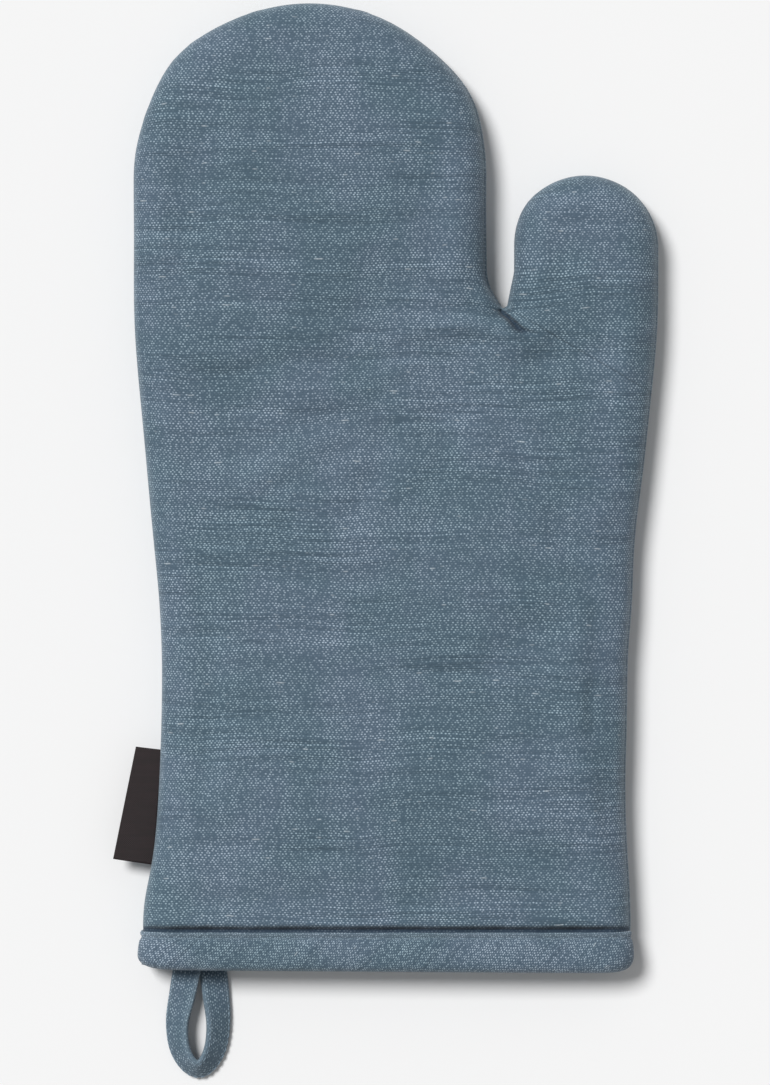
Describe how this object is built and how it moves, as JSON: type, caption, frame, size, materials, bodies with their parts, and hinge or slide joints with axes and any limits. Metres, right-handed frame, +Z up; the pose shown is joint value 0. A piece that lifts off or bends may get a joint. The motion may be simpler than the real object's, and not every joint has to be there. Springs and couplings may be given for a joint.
{
  "type": "oven mitt",
  "caption": "Padded slate-blue oven mitt lying flat, with an open thumb, a bias-bound cuff, a hanging loop and a side label.",
  "frame": {"origin": "on the face the mitt rests on, midway along the cuff's edge", "axes": "+X across the cuff towards the thumb, +Y from the cuff to the fingertips, +Z up, out of the palm side"},
  "size_m": [0.1792, 0.3565, 0.0201],
  "materials": {
    "shell_cloth": "matte slub cotton",
    "binding_cloth": "matte slub cotton cut on the bias",
    "wadding": "needled cotton wadding",
    "lining_cloth": "plain cotton lining",
    "sewing_thread": "spun polyester thread",
    "label_cloth": "dark woven satin tape"
  },
  "bodies": {
    "palm": {"lining_back_palm": "lining_cloth", "lining_front_palm": "lining_cloth", "lining_seam_palm": "sewing_thread", "shell_back_palm": "shell_cloth", "shell_front_palm": "shell_cloth", "shell_seam_palm": "sewing_thread", "wadding_back_palm": "wadding", "wadding_front_palm": "wadding", "cuff_binding": "binding_cloth", "binding_stitches": "sewing_thread"},
    "fingers": {"lining_back_fingers": "lining_cloth", "lining_front_fingers": "lining_cloth", "lining_seam_fingers": "sewing_thread", "shell_back_fingers": "shell_cloth", "shell_front_fingers": "shell_cloth", "shell_seam_fingers": "sewing_thread", "wadding_back_fingers": "wadding", "wadding_front_fingers": "wadding"},
    "thumb": {"lining_back_thumb": "lining_cloth", "lining_front_thumb": "lining_cloth", "lining_seam_thumb": "sewing_thread", "shell_back_thumb": "shell_cloth", "shell_front_thumb": "shell_cloth", "shell_seam_thumb": "sewing_thread", "wadding_back_thumb": "wadding", "wadding_front_thumb": "wadding"},
    "loop": {"hanging_loop": "binding_cloth"},
    "label": {"side_label": "label_cloth"}
  },
  "joints": [
    {"name": "finger_fold", "type": "hinge", "parent": "palm", "child": "fingers", "pos_m": [-0.025, 0.232, 0.02], "axis": [1, 0, 0], "range_deg": [0, 60], "stiffness_Nm_per_rad": 0.03},
    {"name": "thumb_fold", "type": "hinge", "parent": "palm", "child": "thumb", "pos_m": [0.0454, 0.22759, 0.02], "axis": [0.866, -0.5, 0], "range_deg": [0, 55], "stiffness_Nm_per_rad": 0.02},
    {"name": "loop_swing", "type": "hinge", "parent": "palm", "child": "loop", "pos_m": [-0.0623, -0.0025, 0.0012], "axis": [-1, 0, 0], "range_deg": [-85, 85]},
    {"name": "label_flap", "type": "hinge", "parent": "palm", "child": "label", "pos_m": [-0.07773, 0.03589, 0.01], "axis": [0.0608, 0.9982, 0], "range_deg": [-75, 75], "stiffness_Nm_per_rad": 0.0005}
  ]
}
